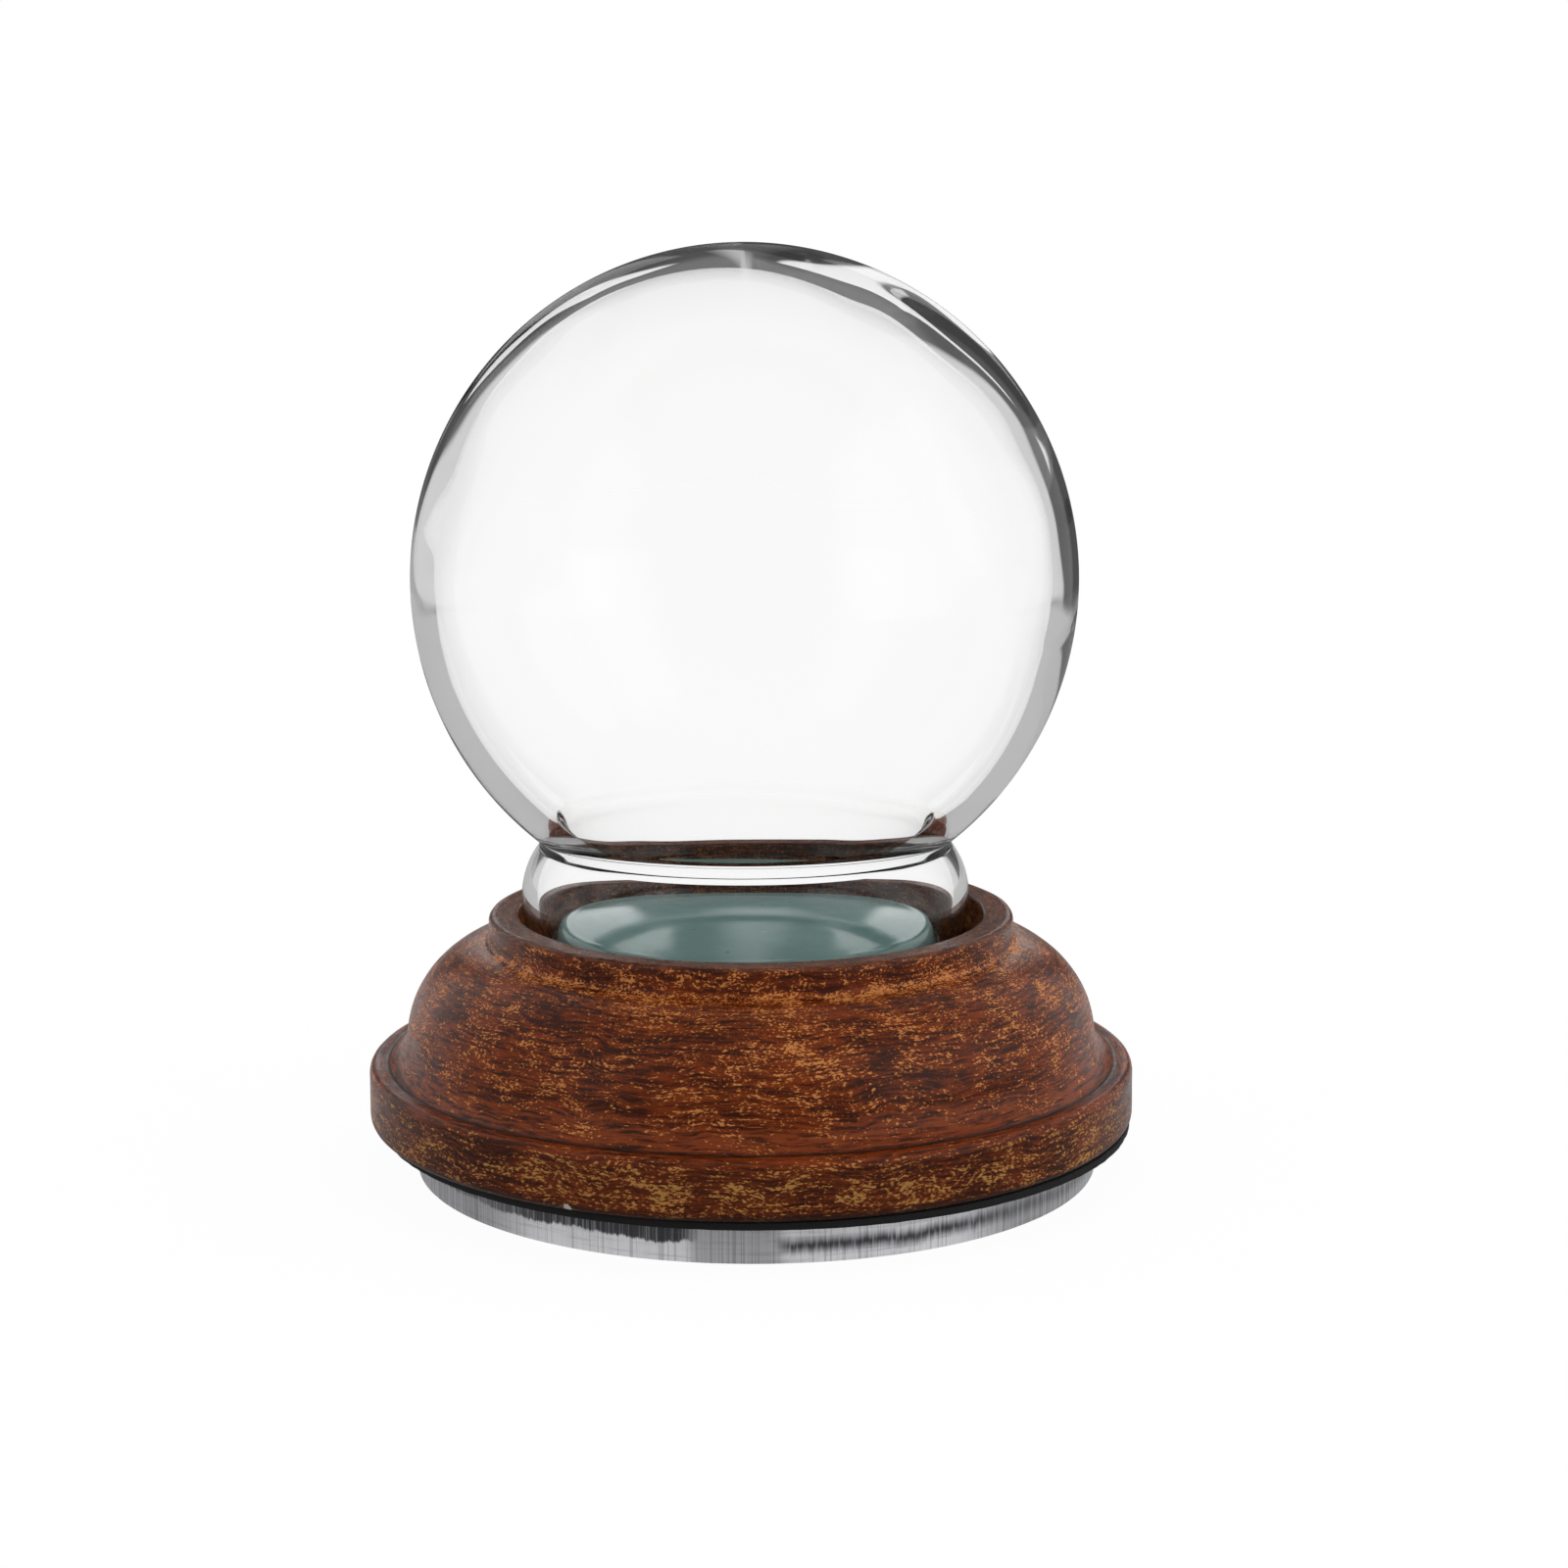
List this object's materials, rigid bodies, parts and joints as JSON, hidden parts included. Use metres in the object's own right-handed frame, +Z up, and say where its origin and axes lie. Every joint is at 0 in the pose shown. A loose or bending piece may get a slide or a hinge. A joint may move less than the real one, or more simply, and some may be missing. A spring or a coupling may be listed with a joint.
{
  "type": "storm glass",
  "caption": "Empty blown-glass globe with a rubber stopper in its neck, standing loose in the collar of a turned-look brown base on a soft pad and a clear disc.",
  "frame": {"origin": "on the axis of the base, level with the flat underside of the clear disc", "axes": "+Z up along the axis of the base, +X to the right and +Y away from the viewer; the object has no front"},
  "size_m": [0.074, 0.074, 0.088],
  "materials": {
    "blown_glass": "clear, smooth, slightly uneven blown soda-lime glass",
    "grey_green_rubber": "satin moulded rubber, grey-green",
    "antique_brown_finish": "antique wood-effect paint, dark brown over orange with dry-brushed ochre flecks, satin lacquer",
    "adhesive_film": "thin double-sided adhesive film",
    "black_foam": "matte black closed-cell foam",
    "clear_acrylic": "clear sheet with a ribbed, laser-cut edge"
  },
  "bodies": {
    "base": {"cast_base": "antique_brown_finish", "pad_adhesive": "adhesive_film", "base_pad": "black_foam", "disc_adhesive": "adhesive_film", "clear_disc": "clear_acrylic"},
    "stopper": {"rubber_stopper": "grey_green_rubber"},
    "globe": {"glass_globe": "blown_glass"}
  },
  "joints": [
    {"name": "globe_lift", "type": "slide", "parent": "base", "child": "stopper", "axis": [0, 0, 1], "range_m": [0, 0.04]},
    {"name": "globe_pull", "type": "slide", "parent": "stopper", "child": "globe", "axis": [0, 0, 1], "range_m": [0, 0.02]}
  ]
}
